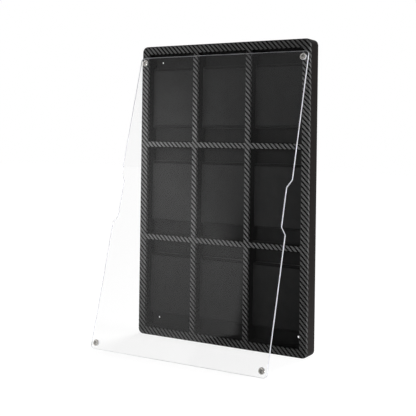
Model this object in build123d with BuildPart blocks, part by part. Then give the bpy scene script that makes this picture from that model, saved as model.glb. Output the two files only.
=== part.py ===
from build123d import *
import os
from math import cos, radians, sin

os.makedirs("parts", exist_ok=True)

# A wall or shelf case for nine graded card slabs. X runs across the case, Y from the front to the
# back and Z up. The origin is the middle of the underside. Lengths are millimetres, angles degrees.

# Pockets and bars, over the wrap
columns = 3
rows = 3
pocket_width = 85.0
pocket_height = 140.0
bar_width = 8.5
border = 13.0

# Case
case_depth = 26.0
corner_radius = 9.0
board_thickness = 3.2
board_edge_chamfer = 0.6

# Carbon-look wrap over the front
wrap_thickness = 0.8
wrap_setback = 0.2
outer_turn = 3.0
lip_depth = 4.0
outer_edge_radius = 2.0
lip_radius = 0.9

# Half-lap joints of the dividers
lap_clearance = 0.1

# Pocket linings, which stand a little proud of the wrap's lip, and card pads
lining_wall = 1.8
lining_floor = 0.8
finger_recess = 21.0
pad_thickness = 10.0
pad_clearance = 0.3
pad_edge_radius = 1.2

# Screw holes through the back
screw_hole_radius = 2.0
screw_inset = 12.0
lining_hole_clearance = 0.5

# Clear cover, leaning on the case
sheet_thickness = 3.0
sheet_corner_radius = 6.0
sheet_edge_chamfer = 0.35
cover_margin = 1.5
lean_angle = 15.1
lean_gap = 0.8
notch_depth = 7.2
notch_mouth = 77.0
notch_floor = 56.0
notch_corner_radius = 4.0

# Magnets, measured to their centres from the outer faces of the case
magnet_inset_x = 9.8
magnet_inset_z = 10.5
magnet_clearance = 0.1
frame_magnet_radius = 3.0
frame_magnet_thickness = 3.0
cover_magnet_radius = 4.75
cover_magnet_proud = 0.5
cover_magnet_rim = 1.6
cover_magnet_dish = 0.5
cover_magnet_chamfer = 0.4

# Worked out from the sizes above
case_width = columns * pocket_width + (columns - 1) * bar_width + 2 * border
case_height = rows * pocket_height + (rows - 1) * bar_width + 2 * border
mid_height = case_height / 2
pitch_x = pocket_width + bar_width
pitch_z = pocket_height + bar_width
window_width = pocket_width + 2 * wrap_thickness
window_height = pocket_height + 2 * wrap_thickness
rail_width = border - wrap_thickness
divider_width = bar_width - 2 * wrap_thickness
wood_depth = case_depth - board_thickness - wrap_thickness
span_x = case_width - 2 * rail_width
span_z = case_height - 2 * rail_width
rebate = wrap_setback + wrap_thickness
screw_spacing_x = case_width - 2 * (border + screw_inset)
screw_spacing_z = case_height - 2 * (border + screw_inset)


def behind_front(depth):
    """The plane that lies this far behind the front of the case, facing forwards."""
    return Plane.XZ.offset(case_depth / 2 - depth)


def finish(part, name):
    part.label = name
    export_step(part, f"parts/{name}.step")


def round_outer_edge(solid, radius):
    """Rounds the outer edge of the foremost face of the open block."""
    fillet(solid.faces().sort_by(Axis.Y)[0].outer_wire().edges(), radius=radius)


# The whole wooden grid, from which each rail and divider takes its length
with BuildPart() as wood_grid:
    with BuildSketch(behind_front(wrap_thickness)):
        with Locations((0, mid_height)):
            RectangleRounded(case_width, case_height, corner_radius)
            with GridLocations(pitch_x, pitch_z, columns, rows):
                Rectangle(window_width, window_height, mode=Mode.SUBTRACT)
    extrude(amount=-wood_depth)
    # Rebate round the front for the wrap's outer turn
    with BuildSketch(behind_front(wrap_thickness)):
        with Locations((0, mid_height)):
            RectangleRounded(case_width, case_height, corner_radius)
            RectangleRounded(
                case_width - 2 * rebate, case_height - 2 * rebate, corner_radius - rebate, mode=Mode.SUBTRACT
            )
    extrude(amount=wrap_thickness - outer_turn, mode=Mode.SUBTRACT)
    round_outer_edge(wood_grid, outer_edge_radius - wrap_thickness)
    # Blind pockets for the magnets, near the corners
    with BuildSketch(behind_front(wrap_thickness)):
        with Locations((0, mid_height)):
            with GridLocations(case_width - 2 * magnet_inset_x, case_height - 2 * magnet_inset_z, 2, 2):
                Circle(frame_magnet_radius + magnet_clearance)
    extrude(amount=-(frame_magnet_thickness + magnet_clearance), mode=Mode.SUBTRACT)


def wooden_piece(name, center_x, center_z, width, height, laps_x=(), laps_z=(), lap_front=0.0):
    """Keeps one strip of the wooden grid and notches it where it laps the pieces that cross it."""
    lap_width = divider_width + 2 * lap_clearance
    with BuildPart() as piece:
        add(wood_grid.part)
        with BuildSketch(behind_front(wrap_thickness)):
            with Locations((center_x, center_z)):
                Rectangle(width, height)
        extrude(amount=-wood_depth, mode=Mode.INTERSECT)
        crossings = [(x, center_z) for x in laps_x] + [(center_x, z) for z in laps_z]
        if crossings:
            with BuildSketch(behind_front(lap_front)):
                with Locations(*crossings):
                    Rectangle(lap_width, lap_width)
            extrude(amount=-wood_depth / 2, mode=Mode.SUBTRACT)
    finish(piece.part, name)


side_x = case_width / 2 - rail_width / 2
top_z = case_height - rail_width / 2
divider_xs = [-pitch_x / 2, pitch_x / 2]
divider_zs = [mid_height - pitch_z / 2, mid_height + pitch_z / 2]
lap_middle = wrap_thickness + wood_depth / 2

wooden_piece("rail_left", -side_x, mid_height, rail_width, case_height)
wooden_piece("rail_right", side_x, mid_height, rail_width, case_height)
wooden_piece("rail_bottom", 0, rail_width / 2, span_x, rail_width)
wooden_piece("rail_top", 0, top_z, span_x, rail_width)
for side, x in zip(["left", "right"], divider_xs):
    wooden_piece(
        f"divider_upright_{side}", x, mid_height, divider_width, span_z, laps_z=divider_zs, lap_front=wrap_thickness
    )
for level, z in zip(["lower", "upper"], divider_zs):
    wooden_piece(f"divider_level_{level}", 0, z, span_x, divider_width, laps_x=divider_xs, lap_front=lap_middle)

# One sheet of wrap over the whole front, rolled over the outer edge and into each pocket
with BuildPart() as face_wrap:
    with BuildSketch(behind_front(0)):
        with Locations((0, mid_height)):
            RectangleRounded(
                case_width - 2 * wrap_setback, case_height - 2 * wrap_setback, corner_radius - wrap_setback
            )
            with GridLocations(pitch_x, pitch_z, columns, rows):
                Rectangle(pocket_width, pocket_height, mode=Mode.SUBTRACT)
    extrude(amount=-lip_depth)
    round_outer_edge(face_wrap, outer_edge_radius)
    fillet(face_wrap.faces().sort_by(Axis.Y)[0].inner_wires().edges(), radius=lip_radius)
    add(wood_grid.part, mode=Mode.SUBTRACT)
    # The magnet pockets stay empty behind the wrap
    with BuildSketch(behind_front(wrap_thickness)):
        with Locations((0, mid_height)):
            with GridLocations(case_width - 2 * magnet_inset_x, case_height - 2 * magnet_inset_z, 2, 2):
                Circle(frame_magnet_radius + magnet_clearance)
    extrude(amount=-lip_depth, mode=Mode.SUBTRACT)
finish(face_wrap.part, "face_wrap")

# Back board, with a screw hole behind each corner pocket
with BuildPart() as back_board:
    with BuildSketch(behind_front(case_depth - board_thickness)):
        with Locations((0, mid_height)):
            RectangleRounded(case_width, case_height, corner_radius)
            with GridLocations(screw_spacing_x, screw_spacing_z, 2, 2):
                Circle(screw_hole_radius, mode=Mode.SUBTRACT)
    extrude(amount=-board_thickness)
    chamfer(back_board.faces().sort_by(Axis.Y)[-1].outer_wire().edges(), length=board_edge_chamfer)
finish(back_board.part, "back_board")


def pocket_lining(name, center_x, center_z):
    """A tray behind the wrap's lip, with a ledge all round where its walls stand proud of the lip."""
    depth = case_depth - board_thickness - lip_depth
    with BuildPart() as lining:
        with BuildSketch(behind_front(lip_depth)):
            with Locations((center_x, center_z)):
                Rectangle(window_width, window_height)
        extrude(amount=-depth)
        with BuildSketch(behind_front(lip_depth)):
            with Locations((center_x, center_z)):
                Rectangle(window_width - 2 * lining_wall, window_height - 2 * lining_wall)
        extrude(amount=lining_floor - depth, mode=Mode.SUBTRACT)
        with BuildSketch(behind_front(lip_depth)):
            with Locations((0, mid_height)):
                with GridLocations(screw_spacing_x, screw_spacing_z, 2, 2):
                    Circle(screw_hole_radius + lining_hole_clearance)
        extrude(amount=-depth, mode=Mode.SUBTRACT)
    finish(lining.part, name)


def card_pad(name, center_x, center_z):
    """The raised seat for a slab, short enough to leave a finger recess above and below it."""
    floor_depth = case_depth - board_thickness - lining_floor
    with BuildPart() as pad:
        with BuildSketch(behind_front(floor_depth)):
            with Locations((center_x, center_z)):
                Rectangle(
                    window_width - 2 * (lining_wall + pad_clearance),
                    window_height - 2 * (lining_wall + finger_recess),
                )
        extrude(amount=pad_thickness)
        fillet(pad.faces().sort_by(Axis.Y)[0].edges(), radius=pad_edge_radius)
    finish(pad.part, name)


for row in range(rows):
    for column in range(columns):
        pocket_x = (column - (columns - 1) / 2) * pitch_x
        pocket_z = mid_height + ((rows - 1) / 2 - row) * pitch_z
        pocket_lining(f"pocket_lining_r{row + 1}c{column + 1}", pocket_x, pocket_z)
        card_pad(f"card_pad_r{row + 1}c{column + 1}", pocket_x, pocket_z)

# Corner names, with the side of the middle that each lies on
corners = {"top_left": (-1, 1), "top_right": (1, 1), "bottom_left": (-1, -1), "bottom_right": (1, -1)}

# Magnets in the side rails, under the wrap
for corner, (right, up) in corners.items():
    with BuildPart() as frame_magnet:
        with BuildSketch(behind_front(wrap_thickness)):
            with Locations(
                (right * (case_width / 2 - magnet_inset_x), mid_height + up * (mid_height - magnet_inset_z))
            ):
                Circle(frame_magnet_radius)
        extrude(amount=-frame_magnet_thickness)
    finish(frame_magnet.part, f"frame_magnet_{corner}")

# The cover stands in front of the case and leans back on it. Its own plane is its back face, with
# Y running up the sheet from the foot; the foot's chamfer rests on the surface that the case is on.
sheet_width = case_width - 2 * cover_margin
sheet_height = case_height - 2 * cover_margin
lean = radians(lean_angle)
foot_y = -case_depth / 2 - lean_gap - sheet_height * sin(lean)
foot_z = -sheet_edge_chamfer * sin(lean)
cover_plane = Plane(origin=(0, foot_y, foot_z), x_dir=(1, 0, 0), z_dir=(0, -cos(lean), sin(lean)))
cover_axis = Axis(cover_plane.origin, cover_plane.z_dir)
cover_magnet_spacing_x = case_width - 2 * magnet_inset_x
cover_magnet_spacing_z = case_height - 2 * magnet_inset_z

with BuildPart() as cover_sheet:
    with BuildSketch(cover_plane) as sheet_outline:
        with Locations((0, sheet_height / 2)):
            RectangleRounded(sheet_width, sheet_height, sheet_corner_radius)
        for right in (-1, 1):
            mouth_x = right * sheet_width / 2
            floor_x = right * (sheet_width / 2 - notch_depth)
            with BuildLine():
                Polyline(
                    (mouth_x, (sheet_height - notch_mouth) / 2),
                    (floor_x, (sheet_height - notch_floor) / 2),
                    (floor_x, (sheet_height + notch_floor) / 2),
                    (mouth_x, (sheet_height + notch_mouth) / 2),
                    close=True,
                )
            make_face(mode=Mode.SUBTRACT)
        notch_corners = sheet_outline.vertices().filter_by_position(
            Axis.Y, (sheet_height - notch_mouth) / 2 - 1, (sheet_height + notch_mouth) / 2 + 1
        )
        fillet(notch_corners, radius=notch_corner_radius)
        with Locations((0, sheet_height / 2)):
            with GridLocations(cover_magnet_spacing_x, cover_magnet_spacing_z, 2, 2):
                Circle(cover_magnet_radius + magnet_clearance, mode=Mode.SUBTRACT)
    extrude(amount=sheet_thickness)
    broad_faces = cover_sheet.faces().filter_by(cover_plane)
    chamfer([edge for face in broad_faces for edge in face.outer_wire().edges()], length=sheet_edge_chamfer)
finish(cover_sheet.part, "cover_sheet")

# Magnets set through the cover: flush at the back, proud and dished at the front
for corner, (right, up) in corners.items():
    center = (right * cover_magnet_spacing_x / 2, sheet_height / 2 + up * cover_magnet_spacing_z / 2)
    length = sheet_thickness + cover_magnet_proud
    with BuildPart() as cover_magnet:
        with BuildSketch(cover_plane):
            with Locations(center):
                Circle(cover_magnet_radius)
        extrude(amount=length)
        chamfer(cover_magnet.edges().sort_by(cover_axis)[-1], length=cover_magnet_chamfer)
        with BuildSketch(cover_plane.offset(length)):
            with Locations(center):
                Circle(cover_magnet_radius - cover_magnet_rim)
        extrude(amount=-cover_magnet_dish, mode=Mode.SUBTRACT)
    finish(cover_magnet.part, f"cover_magnet_{corner}")
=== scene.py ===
import bpy
import bmesh
import math
from mathutils import Matrix, Vector, noise


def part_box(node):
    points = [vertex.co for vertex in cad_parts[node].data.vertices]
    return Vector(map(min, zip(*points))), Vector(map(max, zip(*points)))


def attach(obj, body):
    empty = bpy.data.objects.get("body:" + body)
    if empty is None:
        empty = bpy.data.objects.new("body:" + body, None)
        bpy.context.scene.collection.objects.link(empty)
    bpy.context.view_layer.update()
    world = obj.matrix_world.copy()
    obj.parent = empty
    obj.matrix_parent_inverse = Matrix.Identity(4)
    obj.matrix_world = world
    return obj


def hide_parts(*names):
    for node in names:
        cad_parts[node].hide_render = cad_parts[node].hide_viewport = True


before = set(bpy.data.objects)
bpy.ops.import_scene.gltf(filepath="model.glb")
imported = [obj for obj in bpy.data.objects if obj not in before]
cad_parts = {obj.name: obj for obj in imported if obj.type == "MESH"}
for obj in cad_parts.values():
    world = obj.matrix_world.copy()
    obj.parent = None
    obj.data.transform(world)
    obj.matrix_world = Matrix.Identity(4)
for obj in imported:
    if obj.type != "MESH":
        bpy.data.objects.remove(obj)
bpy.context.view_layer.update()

mm = 0.001
front = (0.0, -1.0, 0.0)
overhead = (0.0, 0.0, 1.0)
white = (1.0, 1.0, 1.0, 1.0)
noiseSpread = {"From Min": 0.3, "From Max": 0.7}  # nearly all of a noise lies between these


def hexColor(code):
    channels = [int(code[i:i + 2], 16) / 255 for i in (1, 3, 5)]
    return tuple(c / 12.92 if c <= 0.04045 else ((c + 0.055) / 1.055) ** 2.4 for c in channels) + (1.0,)


def startMaterial(name):
    material = bpy.data.materials.new(name)
    material.use_nodes = True
    material.node_tree.nodes.clear()
    return material, material.node_tree


def addNode(tree, kind, inputs=None, **settings):
    node = tree.nodes.new(kind)
    for key, value in settings.items():
        setattr(node, key, value)
    for key, value in (inputs or {}).items():
        if isinstance(value, bpy.types.NodeSocket):
            tree.links.new(value, node.inputs[key])
        else:
            node.inputs[key].default_value = value
    return node


def paintedShadeByFacing(tree, way, cosines, turnedPaintedShade, straight):
    # Painted shade by how a face looks: runs from turned, on faces that look elsewhere, to straight on those
    # that look this way
    normal = addNode(tree, "ShaderNodeTexCoord").outputs["Normal"]
    cosine = addNode(tree, "ShaderNodeVectorMath", {
        0: normal, 1: way,
    }, operation="DOT_PRODUCT").outputs["Value"]
    return addNode(tree, "ShaderNodeMapRange", {
        "Value": cosine, "From Min": cosines[0], "From Max": cosines[1], "To Min": turnedPaintedShade, "To Max": straight,
    }, interpolation_type="SMOOTHSTEP").outputs[0]


def nodesNamed(start):
    return sorted(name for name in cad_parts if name.startswith(start))


def paint(names, material):
    for name in names:
        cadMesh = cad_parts[name].data
        cadMesh.materials.clear()
        cadMesh.materials.append(material)


def makeObject(name, bm, material):
    mesh = bpy.data.meshes.new(name)
    bm.to_mesh(mesh)
    bm.free()
    mesh.materials.append(material)
    made = bpy.data.objects.new(name, mesh)
    bpy.context.scene.collection.objects.link(made)
    return made


# Embossed polyurethane leather, the carbon-look wrap, a 2 by 2 twill of flat tows. From a step away the eye
# sees slanting light and dark stripes with a soft shine, and close by the ribs of each tow
wrapLook = {
    "towWidth": 1.905 * mm,  # four tows make one stripe and one gap
    "repeat": 4,
    "over": 2,  # tows of the repeat that run upright, on top of the level ones
    "lightTow": "#7a7a7a",
    "darkTow": "#080808",
    "fibre": 0.22 * mm,  # coarser than a carbon fibre, so that the ribs show
    "fibreStretch": 0.04,
    "fibreShade": (0.9, 1.1),
    "drift": 60 * mm,
    "driftShade": (0.93, 1.07),
    "embossDepth": 0.06 * mm,
    "ribShare": 0.05,  # a rib's height as a share of its tow's barrel
    "bump": 0.5,
    "lightRoughness": 0.5,
    "darkRoughness": 0.85,
    "specular": 0.1,
    "turnedPaintedShade": 0.4,  # painted shade on the faces that don't look to the front
    "paintedShadeCosines": (0.5, 0.95),  # between these cosines to the front, a face goes from the painted turned shade to its full colour
    "top": 0.2,  # painted shade on the faces that look up
    "paintedTopShadeCosines": (0.2, 0.8),
}


def makeWrapMaterial(look):
    material, tree = startMaterial("embossedPuLeather")
    place = addNode(tree, "ShaderNodeTexCoord").outputs["Object"]
    axes = addNode(tree, "ShaderNodeSeparateXYZ", {"Vector": place}).outputs
    # Depth is added to the width, so the weave runs on round the turned edges
    across = addNode(tree, "ShaderNodeMath", {0: axes["X"], 1: axes["Y"]}, operation="ADD").outputs[0]
    cells = []
    barrels = []
    for length in (across, axes["Z"]):
        tow = addNode(tree, "ShaderNodeMath", {0: length, 1: look["towWidth"]}, operation="DIVIDE").outputs[0]
        cells.append(addNode(tree, "ShaderNodeMath", {0: tow}, operation="FLOOR").outputs[0])
        # Each tow is a low barrel across its width
        side = addNode(tree, "ShaderNodeMath", {0: tow, 1: 1.0}, operation="PINGPONG").outputs[0]
        angle = addNode(tree, "ShaderNodeMath", {0: side, 1: math.pi}, operation="MULTIPLY").outputs[0]
        barrels.append(addNode(tree, "ShaderNodeMath", {0: angle}, operation="SINE").outputs[0])
    step = addNode(tree, "ShaderNodeMath", {0: cells[0], 1: cells[1]}, operation="ADD").outputs[0]
    phase = addNode(tree, "ShaderNodeMath", {0: step, 1: look["repeat"]}, operation="FLOORED_MODULO").outputs[0]
    upright = addNode(tree, "ShaderNodeMath", {
        0: phase, 1: look["over"] - 0.5,
    }, operation="LESS_THAN").outputs[0]
    height = addNode(tree, "ShaderNodeMix", {
        "Factor": upright, "A": barrels[1], "B": barrels[0],
    }).outputs["Result"]
    # Fine ribs along each tow
    fibres = []
    for stretch in ((1.0, 1.0, look["fibreStretch"]), (look["fibreStretch"], 1.0, 1.0)):
        mapped = addNode(tree, "ShaderNodeMapping", {"Vector": place, "Scale": stretch}).outputs[0]
        fibres.append(addNode(tree, "ShaderNodeTexNoise", {
            "Vector": mapped, "Scale": 1 / look["fibre"], "Detail": 1.0,
        }).outputs["Fac"])
    fibre = addNode(tree, "ShaderNodeMix", {
        "Factor": upright, "A": fibres[1], "B": fibres[0],
    }).outputs["Result"]
    shade = addNode(tree, "ShaderNodeMapRange", {
        "Value": fibre, "To Min": look["fibreShade"][0], "To Max": look["fibreShade"][1], **noiseSpread,
    }).outputs[0]
    # A slow drift in the shade, as an embossed roll has
    drift = addNode(tree, "ShaderNodeTexNoise", {
        "Vector": place, "Scale": 1 / look["drift"], "Detail": 2.0,
    }).outputs["Fac"]
    slow = addNode(tree, "ShaderNodeMapRange", {
        "Value": drift, "To Min": look["driftShade"][0], "To Max": look["driftShade"][1], **noiseSpread,
    }).outputs[0]
    # Painted shade: faces turned from the front are darkened, and faces that look up darker again
    turnedPaintedShade = paintedShadeByFacing(tree, front, look["paintedShadeCosines"], look["turnedPaintedShade"], 1.0)
    top = paintedShadeByFacing(tree, overhead, look["paintedTopShadeCosines"], 1.0, look["top"])
    for factor in (slow, turnedPaintedShade, top):
        shade = addNode(tree, "ShaderNodeMath", {0: shade, 1: factor}, operation="MULTIPLY").outputs[0]
    weave = addNode(tree, "ShaderNodeMix", {
        "Factor": upright, "A": hexColor(look["darkTow"]), "B": hexColor(look["lightTow"]),
    }, data_type="RGBA").outputs["Result"]
    color = addNode(tree, "ShaderNodeVectorMath", {0: weave, "Scale": shade}, operation="SCALE").outputs[0]
    ribs = addNode(tree, "ShaderNodeMath", {0: fibre, 1: look["ribShare"]}, operation="MULTIPLY").outputs[0]
    relief = addNode(tree, "ShaderNodeMath", {0: ribs, 1: height}, operation="ADD").outputs[0]
    bump = addNode(tree, "ShaderNodeBump", {
        "Height": relief, "Strength": look["bump"], "Distance": look["embossDepth"],
    }).outputs[0]
    rough = addNode(tree, "ShaderNodeMix", {
        "Factor": upright, "A": look["darkRoughness"], "B": look["lightRoughness"],
    }).outputs["Result"]
    surface = addNode(tree, "ShaderNodeBsdfPrincipled", {
        "Base Color": color, "Roughness": rough, "Normal": bump, "IOR": 1.5,
        "Specular IOR Level": look["specular"],
    })
    addNode(tree, "ShaderNodeOutputMaterial", {"Surface": surface.outputs[0]})
    return material


paint(["face_wrap"], makeWrapMaterial(wrapLook))
print("wrap done")


boardCoat = {
    "shade": (0.78, 1.22),
    "roughSwing": 0.06,
    "peelDepth": 0.08 * mm,
    "bump": 0.35,
    "specular": 0.08,
}
# Sprayed fibreboard, the rails and dividers in black satin lacquer. The lacquer lies over sanded fibres, so
# it has a faint orange peel and a mottled, slightly warm black
lacquerLook = {"color": "#141110", "mottle": 9 * mm, "peel": 1.4 * mm, "roughness": 0.6, **boardCoat}
# The back board is the same board, rolled with a thin matt black, so its fibres show
boardLook = {"color": "#232222", "mottle": 5 * mm, "peel": 0.7 * mm, "roughness": 0.72, **boardCoat}


def makeBoardMaterial(name, look):
    material, tree = startMaterial(name)
    place = addNode(tree, "ShaderNodeTexCoord").outputs["Object"]
    mottle = addNode(tree, "ShaderNodeTexNoise", {
        "Vector": place, "Scale": 1 / look["mottle"], "Detail": 4.0, "Roughness": 0.6,
    }).outputs["Fac"]
    shade = addNode(tree, "ShaderNodeMapRange", {
        "Value": mottle, "To Min": look["shade"][0], "To Max": look["shade"][1], **noiseSpread,
    }).outputs[0]
    color = addNode(tree, "ShaderNodeVectorMath", {
        0: hexColor(look["color"])[:3], "Scale": shade,
    }, operation="SCALE").outputs[0]
    rough = addNode(tree, "ShaderNodeMapRange", {
        "Value": mottle, "To Min": look["roughness"] - look["roughSwing"],
        "To Max": look["roughness"] + look["roughSwing"], **noiseSpread,
    }).outputs[0]
    peel = addNode(tree, "ShaderNodeTexNoise", {
        "Vector": place, "Scale": 1 / look["peel"], "Detail": 2.0,
    }).outputs["Fac"]
    bump = addNode(tree, "ShaderNodeBump", {
        "Height": peel, "Strength": look["bump"], "Distance": look["peelDepth"],
    }).outputs[0]
    surface = addNode(tree, "ShaderNodeBsdfPrincipled", {
        "Base Color": color, "Roughness": rough, "Normal": bump, "IOR": 1.47,
        "Specular IOR Level": look["specular"],
    })
    addNode(tree, "ShaderNodeOutputMaterial", {"Surface": surface.outputs[0]})
    return material


paint(nodesNamed("rail_") + nodesNamed("divider_"), makeBoardMaterial("sprayedFibreboard", lacquerLook))
paint(["back_board"], makeBoardMaterial("rolledFibreboard", boardLook))
print("boards done")


# Besides the nap's own tone, these settings paint shade on walls, rolled edges and the tray's rim
nap = {
    "grainShade": (0.98, 1.02),
    "patch": 22 * mm,
    "patchSpread": (0.35, 0.65),
    "patchShade": (0.92, 1.08),
    "paintedShadeCosines": (0.75, 0.98),
    "paintedRimDepths": (-8 * mm, -4 * mm),  # between these the painted shade on the rim runs out
    "rimPaintedShade": 0.2,
    "napDepth": 0.02 * mm,
    "bump": 0.05,
    "specular": 0.1,
    "sheenRoughness": 0.5,
}
# Flocked paper, the pocket linings: short upright fibres that swallow light, with a faint speckle that is
# coarser than the fibres, so that it shows
liningLook = {"color": "#2c2c2c", "speck": 0.5 * mm, "roughness": 0.95, "turnedPaintedShade": 0.2, "sheen": 0.02, **nap}
# Brushed velour over the pads: a short nap, smoothed one way and the other in soft patches, and its speckle
# is coarse for the same reason
velourLook = {"color": "#303030", "speck": 0.6 * mm, "roughness": 0.88, "turnedPaintedShade": 0.05, "sheen": 0.12, **nap}


def makeNapMaterial(name, look):
    material, tree = startMaterial(name)
    place = addNode(tree, "ShaderNodeTexCoord").outputs["Object"]
    speck = addNode(tree, "ShaderNodeTexNoise", {
        "Vector": place, "Scale": 1 / look["speck"], "Detail": 2.0, "Roughness": 0.7,
    }).outputs["Fac"]
    patch = addNode(tree, "ShaderNodeTexNoise", {
        "Vector": place, "Scale": 1 / look["patch"], "Detail": 3.0, "Roughness": 0.55, "Distortion": 0.6,
    }).outputs["Fac"]
    shade = addNode(tree, "ShaderNodeMapRange", {
        "Value": speck, "To Min": look["grainShade"][0], "To Max": look["grainShade"][1], **noiseSpread,
    }).outputs[0]
    brushed = addNode(tree, "ShaderNodeMapRange", {
        "Value": patch, "From Min": look["patchSpread"][0], "From Max": look["patchSpread"][1],
        "To Min": look["patchShade"][0], "To Max": look["patchShade"][1],
    }).outputs[0]
    # Painted shade on walls and rolled edges, the faces that don't look to the front
    turnedPaintedShade = paintedShadeByFacing(tree, front, look["paintedShadeCosines"], look["turnedPaintedShade"], 1.0)
    # Painted shade on the tray's rim, near the front face
    depth = addNode(tree, "ShaderNodeSeparateXYZ", {"Vector": place}).outputs["Y"]
    rim = addNode(tree, "ShaderNodeMapRange", {
        "Value": depth, "From Min": look["paintedRimDepths"][0], "From Max": look["paintedRimDepths"][1],
        "To Min": look["rimPaintedShade"], "To Max": 1.0,
    }).outputs[0]
    for factor in (brushed, turnedPaintedShade, rim):
        shade = addNode(tree, "ShaderNodeMath", {0: shade, 1: factor}, operation="MULTIPLY").outputs[0]
    color = addNode(tree, "ShaderNodeVectorMath", {
        0: hexColor(look["color"])[:3], "Scale": shade,
    }, operation="SCALE").outputs[0]
    bump = addNode(tree, "ShaderNodeBump", {
        "Height": speck, "Strength": look["bump"], "Distance": look["napDepth"],
    }).outputs[0]
    surface = addNode(tree, "ShaderNodeBsdfPrincipled", {
        "Base Color": color, "Roughness": look["roughness"], "Normal": bump, "IOR": 1.45,
        "Specular IOR Level": look["specular"],
        "Sheen Weight": look["sheen"], "Sheen Roughness": look["sheenRoughness"],
    })
    addNode(tree, "ShaderNodeOutputMaterial", {"Surface": surface.outputs[0]})
    return material


paint(nodesNamed("pocket_lining"), makeNapMaterial("flockedPaper", liningLook))
velour = makeNapMaterial("brushedVelour", velourLook)
print("linings done")


# Card pads: a foam seat wrapped in velour, softly crowned, with rolled edges
padBuild = {
    "edgeRadius": 3.0 * mm,
    "edgeSegments": 4,
    "edgeAngle": 1.0,  # radians, what bends more than this is an edge
    "crown": 0.2 * mm,
    "crownPower": 0.35,  # lower is flatter in the middle
    "cell": 3.0 * mm,
    "ripple": 0.04 * mm,
    "rippleLength": 14 * mm,
}


def makePad(cadNode, build):
    low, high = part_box(cadNode)
    size = high - low
    middle = (low + high) / 2
    bm = bmesh.new()
    bmesh.ops.create_cube(bm, size=1.0, matrix=Matrix.Translation(middle) @ Matrix.Diagonal((*size, 1.0)))
    # Cuts across the width and the height, so the front can crown
    for axis, length in ((0, size.x), (2, size.z)):
        cuts = round(length / build["cell"])
        for cut in range(1, cuts):
            point = low.copy()
            point[axis] += length * cut / cuts
            normal = Vector((axis == 0, 0, axis == 2))
            everything = bm.verts[:] + bm.edges[:] + bm.faces[:]
            bmesh.ops.bisect_plane(bm, geom=everything, plane_co=point, plane_no=normal)
    rim = [edge for edge in bm.edges if edge.is_manifold and edge.calc_face_angle(0) > build["edgeAngle"]
           and min(vert.co.y for vert in edge.verts) < middle.y]
    bmesh.ops.bevel(
        bm, geom=rim, offset=build["edgeRadius"], offset_type="OFFSET", affect="EDGES",
        segments=build["edgeSegments"], profile=0.5, material=-1, clamp_overlap=True,
    )
    for vert in bm.verts:
        # The crown falls off to the edges, and stays behind the solid's face
        across = 1 - ((vert.co.x - middle.x) / (size.x / 2)) ** 2
        along = 1 - ((vert.co.z - middle.z) / (size.z / 2)) ** 2
        ahead = (middle.y - vert.co.y) / (size.y / 2)
        if ahead > 0:
            fall = 1 - min(1.0, (max(across, 0) * max(along, 0)) ** build["crownPower"])
            wave = noise.noise(vert.co / build["rippleLength"]) * build["ripple"]
            vert.co.y += ahead * (fall * build["crown"] + build["ripple"] + wave)
    bmesh.ops.recalc_face_normals(bm, faces=bm.faces[:])
    pad = makeObject(cadNode + "_cover", bm, velour)
    for face in pad.data.polygons:
        face.use_smooth = True
    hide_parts(cadNode)
    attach(pad, "case")
    return pad


pads = [makePad(name, padBuild) for name in nodesNamed("card_pad")]
print("pads done:", len(pads))


# Nickel plated magnets: hard bright plate with a faint haze
nickelLook = {"color": "#e4e1dc", "shade": (0.92, 1.06), "roughness": (0.11, 0.28), "haze": 1.2 * mm}


def makeNickelMaterial(look):
    material, tree = startMaterial("nickelPlate")
    place = addNode(tree, "ShaderNodeTexCoord").outputs["Object"]
    haze = addNode(tree, "ShaderNodeTexNoise", {
        "Vector": place, "Scale": 1 / look["haze"], "Detail": 4.0, "Roughness": 0.6,
    }).outputs["Fac"]
    rough = addNode(tree, "ShaderNodeMapRange", {
        "Value": haze, "To Min": look["roughness"][0], "To Max": look["roughness"][1], **noiseSpread,
    }).outputs[0]
    shade = addNode(tree, "ShaderNodeMapRange", {
        "Value": haze, "To Min": look["shade"][0], "To Max": look["shade"][1], **noiseSpread,
    }).outputs[0]
    color = addNode(tree, "ShaderNodeVectorMath", {
        0: hexColor(look["color"])[:3], "Scale": shade,
    }, operation="SCALE").outputs[0]
    surface = addNode(tree, "ShaderNodeBsdfPrincipled", {
        "Base Color": color, "Roughness": rough, "Metallic": 1.0,
    })
    addNode(tree, "ShaderNodeOutputMaterial", {"Surface": surface.outputs[0]})
    return material


nickel = makeNickelMaterial(nickelLook)
paint(nodesNamed("frame_magnet") + nodesNamed("cover_magnet"), nickel)

coverLean = math.radians(15.1)  # how far the cover leans back at rest
coverOutward = Vector((0.0, -math.cos(coverLean), math.sin(coverLean)))

# Cover magnets: a pressed disc with a rounded rim and a shallow cone sunk in its face
magnetBuild = {
    "rim": 1.3 * mm,
    "rimEdge": 0.45 * mm,
    "rimSegments": 4,
    "step": 0.2 * mm,
    "cone": 0.5 * mm,
    "sides": 64,
    "sharpAngle": 25,  # degrees
}


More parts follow.
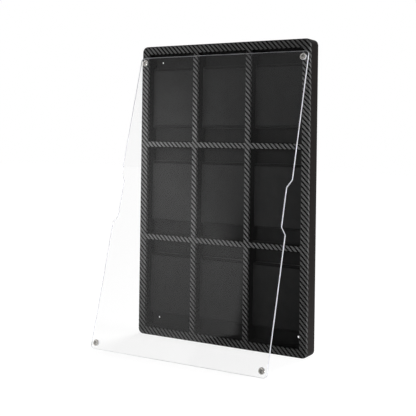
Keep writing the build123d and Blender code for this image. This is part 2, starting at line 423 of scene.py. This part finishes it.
def makeMagnet(cadNode, build):
    across = Vector((1.0, 0.0, 0.0))
    along = coverOutward.cross(across)
    axes = (across, along, coverOutward)
    points = [vert.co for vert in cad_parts[cadNode].data.vertices]
    spans = [[min(point.dot(axis) for point in points), max(point.dot(axis) for point in points)]
             for axis in axes]
    radius = (spans[0][1] - spans[0][0]) / 2
    length = spans[2][1] - spans[2][0]
    bm = bmesh.new()
    bmesh.ops.create_cone(
        bm, cap_ends=True, segments=build["sides"], radius1=radius, radius2=radius, depth=length,
    )
    face = max(bm.faces, key=lambda f: f.calc_center_median().z)
    bmesh.ops.bevel(
        bm, geom=list(face.edges), offset=build["rimEdge"], offset_type="OFFSET", affect="EDGES",
        segments=build["rimSegments"], profile=0.5, material=-1, clamp_overlap=True,
    )
    face = max(bm.faces, key=lambda f: f.calc_center_median().z + f.calc_area())
    bmesh.ops.inset_region(bm, faces=[face], thickness=build["rim"] - build["rimEdge"], depth=0.0)
    bmesh.ops.inset_region(bm, faces=[face], thickness=build["step"], depth=-build["step"])
    bmesh.ops.poke(bm, faces=[face], offset=-build["cone"])
    bmesh.ops.recalc_face_normals(bm, faces=bm.faces[:])
    centre = sum((axis * sum(span) / 2 for axis, span in zip(axes, spans)), Vector())
    turn = Matrix(axes).transposed().to_4x4()
    bmesh.ops.transform(bm, matrix=Matrix.Translation(centre) @ turn, verts=bm.verts[:])
    disc = makeObject(cadNode + "_disc", bm, nickel)
    for polygon in disc.data.polygons:
        polygon.use_smooth = len(polygon.vertices) < build["sides"]
    disc.data.set_sharp_from_angle(angle=math.radians(build["sharpAngle"]))
    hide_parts(cadNode)
    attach(disc, "cover")
    return disc


magnets = [makeMagnet(name, magnetBuild) for name in nodesNamed("cover_magnet")]
print("magnets done:", len(magnets))


# Cast acrylic, the cover: clear and faintly cool, with long soft waves in its faces and edges
# that were sawn and flame polished, which scatter the light that runs inside the sheet
acrylicLook = {
    "face": "#fefefe",
    "edge": "#f3f4fb",
    "edgeRoughness": 0.45,
    "edgeClearness": 0.5,
    "faceCosine": 0.93,  # what leans more than this from the face is edge or chamfer
    "wave": 90 * mm,
    "waveHeight": 0.1 * mm,
    "bump": 0.2,
    "lampTint": (0.96, 0.965, 0.97, 1.0),  # what is left of a lamp's light behind the sheet
}


def makeAcrylicMaterial(look):
    material, tree = startMaterial("castAcrylic")
    coords = addNode(tree, "ShaderNodeTexCoord").outputs
    cosine = addNode(tree, "ShaderNodeVectorMath", {
        0: coords["Normal"], 1: coverOutward,
    }, operation="DOT_PRODUCT").outputs["Value"]
    cosine = addNode(tree, "ShaderNodeMath", {0: cosine}, operation="ABSOLUTE").outputs[0]
    edge = addNode(tree, "ShaderNodeMath", {0: cosine, 1: look["faceCosine"]}, operation="LESS_THAN").outputs[0]
    wave = addNode(tree, "ShaderNodeTexNoise", {
        "Vector": coords["Object"], "Scale": 1 / look["wave"], "Detail": 1.0,
    }).outputs["Fac"]
    bump = addNode(tree, "ShaderNodeBump", {
        "Height": wave, "Strength": look["bump"], "Distance": look["waveHeight"],
    }).outputs[0]
    rough = addNode(tree, "ShaderNodeMath", {
        0: edge, 1: look["edgeRoughness"],
    }, operation="MULTIPLY").outputs[0]
    clear = addNode(tree, "ShaderNodeMapRange", {
        "Value": edge, "To Min": 1.0, "To Max": look["edgeClearness"],
    }).outputs[0]
    color = addNode(tree, "ShaderNodeMix", {
        "Factor": edge, "A": hexColor(look["face"]), "B": hexColor(look["edge"]),
    }, data_type="RGBA").outputs["Result"]
    surface = addNode(tree, "ShaderNodeBsdfPrincipled", {
        "Base Color": color, "Roughness": rough, "Normal": bump, "IOR": 1.49, "Transmission Weight": clear,
    })
    # Lamps shine through the sheet, as they do through clear acrylic
    through = addNode(tree, "ShaderNodeBsdfTransparent", {"Color": look["lampTint"]})
    isShadow = addNode(tree, "ShaderNodeLightPath").outputs["Is Shadow Ray"]
    mixed = addNode(tree, "ShaderNodeMixShader", {0: isShadow, 1: surface.outputs[0], 2: through.outputs[0]})
    addNode(tree, "ShaderNodeOutputMaterial", {"Surface": mixed.outputs[0]})
    return material


paint(["cover_sheet"], makeAcrylicMaterial(acrylicLook))
print("cover done")


# Studio: a white floor under a white room, grey cards that only reflections show, lamps and the camera
studio = {
    "floorSize": (14.0, 14.0),
    "floorShade": (0.18, 0.18, 0.18, 1.0),
    "floorGlow": 0.9,  # what the floor adds of its own where it is seen
    "ambient": 0.06,  # the room's own light on the case
    "roomGlow": 1.0,  # the room where it is seen
}


def makeSeenFactor(tree):
    # 1 for the rays that show the white room: from the camera, off metal and through glass.
    # A ray that has left a dull surface sees the plain light, also where it crosses the sheet
    path = addNode(tree, "ShaderNodeLightPath").outputs
    seen = path["Is Camera Ray"]
    for kind in ("Is Transmission Ray", "Is Glossy Ray"):
        seen = addNode(tree, "ShaderNodeMath", {0: seen, 1: path[kind]}, operation="MAXIMUM").outputs[0]
    straight = addNode(tree, "ShaderNodeMath", {
        0: path["Diffuse Depth"], 1: 0.5,
    }, operation="LESS_THAN").outputs[0]
    return addNode(tree, "ShaderNodeMath", {0: seen, 1: straight}, operation="MULTIPLY").outputs[0]


def makeFloorMaterial(shade, glow):
    material, tree = startMaterial("whiteFloor")
    surface = addNode(tree, "ShaderNodeBsdfDiffuse", {"Color": shade}).outputs[0]
    light = addNode(tree, "ShaderNodeEmission", {"Color": white, "Strength": glow}).outputs[0]
    both = addNode(tree, "ShaderNodeAddShader", {0: surface, 1: light}).outputs[0]
    mixed = addNode(tree, "ShaderNodeMixShader", {0: makeSeenFactor(tree), 1: surface, 2: both})
    addNode(tree, "ShaderNodeOutputMaterial", {"Surface": mixed.outputs[0]})
    return material


def makeBentLight(tree, card):
    # The light falls off across a bent line, and high up it settles to an even grey
    place = addNode(tree, "ShaderNodeTexCoord").outputs["Object"]
    axes = addNode(tree, "ShaderNodeSeparateXYZ", {"Vector": place}).outputs
    blur = addNode(tree, "ShaderNodeMapRange", {
        "Value": axes["Z"], "From Min": card["sharpAt"], "From Max": card["softAt"],
        "To Min": card["sharp"], "To Max": card["soft"],
    }).outputs[0]
    # The curve holds the line, with heights and places across as shares of the span
    span = card["edgeSpan"]
    share = addNode(tree, "ShaderNodeMath", {0: axes["Z"], 1: span}, operation="DIVIDE").outputs[0]
    bend = addNode(tree, "ShaderNodeFloatCurve", {"Value": share})
    curve = bend.mapping.curves[0]
    ends = (card["edgeLine"][0], card["edgeLine"][-1])
    for point, (height, across) in zip(curve.points, ends):
        point.location = (height / span, 1 + across / span)
    for height, across in card["edgeLine"][1:-1]:
        curve.points.new(height / span, 1 + across / span)
    for point in curve.points:
        point.handle_type = "VECTOR"
    bend.mapping.update()
    edge = addNode(tree, "ShaderNodeMapRange", {
        "Value": bend.outputs[0], "To Min": -span, "To Max": 0.0,
    }).outputs[0]
    off = addNode(tree, "ShaderNodeMath", {0: axes["X"], 1: edge}, operation="SUBTRACT").outputs[0]
    off = addNode(tree, "ShaderNodeMath", {0: off, 1: blur}, operation="DIVIDE").outputs[0]
    pattern = addNode(tree, "ShaderNodeMapRange", {
        "Value": off, "From Min": -1.0, "From Max": 1.0, "To Min": card["bright"], "To Max": card["dim"],
    }, interpolation_type="SMOOTHSTEP").outputs[0]
    fade = addNode(tree, "ShaderNodeMapRange", {
        "Value": axes["Z"], "From Min": card["fadeFrom"], "From Max": card["fadeTo"],
    }, interpolation_type="SMOOTHSTEP").outputs[0]
    high = addNode(tree, "ShaderNodeMapRange", {
        "Value": axes["X"], "From Min": card["leftAt"], "From Max": card["rightAt"],
        "To Min": card["highLeft"], "To Max": card["highRight"],
    }).outputs[0]
    return addNode(tree, "ShaderNodeMix", {"Factor": fade, "A": pattern, "B": high}).outputs["Result"]


def makeCardMaterial(name, card):
    # Only a ray that a glossy face has thrown on sees the card
    material, tree = startMaterial(name)
    depth = addNode(tree, "ShaderNodeLightPath").outputs["Glossy Depth"]
    thrown = addNode(tree, "ShaderNodeMath", {0: depth, 1: 0.5}, operation="GREATER_THAN").outputs[0]
    clear = addNode(tree, "ShaderNodeBsdfTransparent").outputs[0]
    grey = makeBentLight(tree, card)
    face = addNode(tree, "ShaderNodeEmission", {"Color": white, "Strength": grey}).outputs[0]
    mixed = addNode(tree, "ShaderNodeMixShader", {0: thrown, 1: clear, 2: face})
    addNode(tree, "ShaderNodeOutputMaterial", {"Surface": mixed.outputs[0]})
    return material


def makeStagePlane(name, place, size, material, toward=None):
    bm = bmesh.new()
    turn = Matrix.Identity(4)
    if toward:
        turn = (Vector(toward) - Vector(place)).to_track_quat("Z", "Y").to_matrix().to_4x4()
    bmesh.ops.create_grid(bm, x_segments=1, y_segments=1, size=0.5,
                          matrix=Matrix.Translation(place) @ turn @ Matrix.Diagonal((*size, 1.0, 1.0)))
    plane = makeObject(name, bm, material)


makeStagePlane("floor", (0.0, 0.0, 0.0), studio["floorSize"],
               makeFloorMaterial(studio["floorShade"], studio["floorGlow"]))
cards = {
    "frontCard": {
        "place": (-0.4, -2.4, 1.4), "size": (5.0, 4.2), "toward": (-0.4, 0.0, 1.4),
        # Height and place across of the line where the light ends
        "edgeLine": [(0.6, -1.37), (0.65, -1.35), (0.69, -1.195), (0.85, -1.21), (1.105, -1.26),
                     (1.135, -1.375), (1.37, -1.505), (1.6, -1.63), (2.2, -1.963)],
        "edgeSpan": 2.5,  # the greatest height and distance to the left that the line may reach
        "bright": 0.41, "dim": 0.045,
        # Half the width of the line's blur, and the heights between which that grows
        "sharp": 0.03, "sharpAt": 1.1, "soft": 0.5, "softAt": 1.6,
        # Higher up the line fades into a grey that runs from left to right
        "fadeFrom": 1.5, "fadeTo": 2.2, "highLeft": 0.21, "leftAt": -2.2, "highRight": 0.19, "rightAt": -1.4,
    },
    # The same light with no line in it: an even grey as high as the case stands
    "backCard": {
        "place": (0.42, 0.3, 0.3), "size": (1.0, 0.8), "toward": (0.149, 0.0, 0.25),
        "edgeLine": [(0.0, -1.0), (2.5, -1.0)],
        "edgeSpan": 2.5, "bright": 0.19, "dim": 0.19,
        "sharp": 0.4, "sharpAt": 0.0, "soft": 0.4, "softAt": 1.0,
        "fadeFrom": 1.5, "fadeTo": 2.2, "highLeft": 0.3, "leftAt": -2.2, "highRight": 0.3, "rightAt": -1.4,
    },
}
for name, card in cards.items():
    makeStagePlane(name, card["place"], card["size"], makeCardMaterial(name, card), card["toward"])

world = bpy.data.worlds.new("studioWorld")
bpy.context.scene.world = world
world.use_nodes = True
worldTree = world.node_tree
worldTree.nodes.clear()
worldStrength = addNode(worldTree, "ShaderNodeMix", {
    "Factor": makeSeenFactor(worldTree), "A": studio["ambient"], "B": studio["roomGlow"],
}).outputs["Result"]
worldLight = addNode(worldTree, "ShaderNodeBackground", {"Color": white, "Strength": worldStrength})
addNode(worldTree, "ShaderNodeOutputWorld", {"Surface": worldLight.outputs[0]})

# Places are in metres, and so is the size, a spot's radius or an area lamp's side. The beams are in degrees,
# and so is the sun's size
lamps = {
    "keyLamp": {"kind": "SPOT", "place": (-0.35, -1.8, 0.5), "aim": (-0.24, 0.0, 0.265),
                "size": 0.2, "power": 90.0, "beam": 15},
    "fillLamp": {"kind": "SPOT", "place": (-0.35, -1.8, 0.5), "aim": (0.12, 0.0, 0.335),
                 "size": 0.2, "power": 21.5, "beam": 15},
    "lowLamp": {"kind": "SPOT", "place": (-0.35, -1.8, 0.5), "aim": (0.11, 0.0, 0.12),
                "size": 0.2, "power": 19.5, "beam": 13},
    # Kept out of mirrors, as its disc would stand in the closed cover when it is seen from the right
    "leftLamp": {"kind": "SPOT", "place": (-0.65, -0.5, 0.36), "aim": (-0.08, 0.0, 0.285),
                 "size": 0.14, "power": 12.4, "beam": 36, "mirrored": False},
    "sideLamp": {"kind": "AREA", "place": (1.4, 0.05, 0.3), "aim": (0.14, -0.05, 0.25),
                 "size": 0.3, "power": 11.0, "beam": 120},
    "skyLamp": {"kind": "SUN", "place": (0.0, 0.35, 1.25), "aim": (0.0, 0.0, 0.25), "size": 12, "power": 2.2},
}
for name, lamp in lamps.items():
    data = bpy.data.lights.new(name, lamp["kind"])
    data.energy = lamp["power"]
    if lamp["kind"] == "SPOT":
        data.shadow_soft_size = lamp["size"]
        data.spot_size = math.radians(lamp["beam"])
        data.spot_blend = 1.0
    elif lamp["kind"] == "SUN":
        data.angle = math.radians(lamp["size"])
    else:
        data.shape = "SQUARE"
        data.size = lamp["size"]
        data.spread = math.radians(lamp["beam"])
    lampObject = bpy.data.objects.new(name, data)
    lampObject.location = lamp["place"]
    lampObject.rotation_mode = "QUATERNION"
    lampObject.rotation_quaternion = (Vector(lamp["aim"]) - lampObject.location).to_track_quat("-Z", "Y")
    # The sheet's back face mirrors as well, through its front
    lampObject.visible_glossy = lampObject.visible_transmission = lamp.get("mirrored", True)
    bpy.context.scene.collection.objects.link(lampObject)

# The camera stands right of the case, a little above its middle
shot = {
    "place": (0.66289, -1.13747, 0.31087),
    "yaw": -0.54749,  # these three in radians
    "pitch": 0.00791,
    "roll": 0.01436,
    "focalPixels": 853.08,
    "centreRow": 135.18,
    "pixels": 416,
    "sensor": 36.0,
}
cameraData = bpy.data.cameras.new("camera")
cameraData.sensor_width = shot["sensor"]
cameraData.lens = shot["focalPixels"] / shot["pixels"] * shot["sensor"]
cameraData.shift_y = (shot["centreRow"] - shot["pixels"] / 2) / shot["pixels"]
camera = bpy.data.objects.new("camera", cameraData)
forward = Vector((
    math.sin(shot["yaw"]) * math.cos(shot["pitch"]),
    math.cos(shot["yaw"]) * math.cos(shot["pitch"]),
    math.sin(shot["pitch"]),
))
level = Vector((math.cos(shot["yaw"]), -math.sin(shot["yaw"]), 0.0))
upward = level.cross(forward)
right = level * math.cos(shot["roll"]) + upward * math.sin(shot["roll"])
top = upward * math.cos(shot["roll"]) - level * math.sin(shot["roll"])
cameraTurn = Matrix((right, top, -forward)).transposed().to_4x4()
camera.matrix_world = Matrix.Translation(Vector(shot["place"])) @ cameraTurn
bpy.context.scene.collection.objects.link(camera)
bpy.context.scene.camera = camera
bpy.context.scene.view_settings.view_transform = "Standard"
print("studio done")
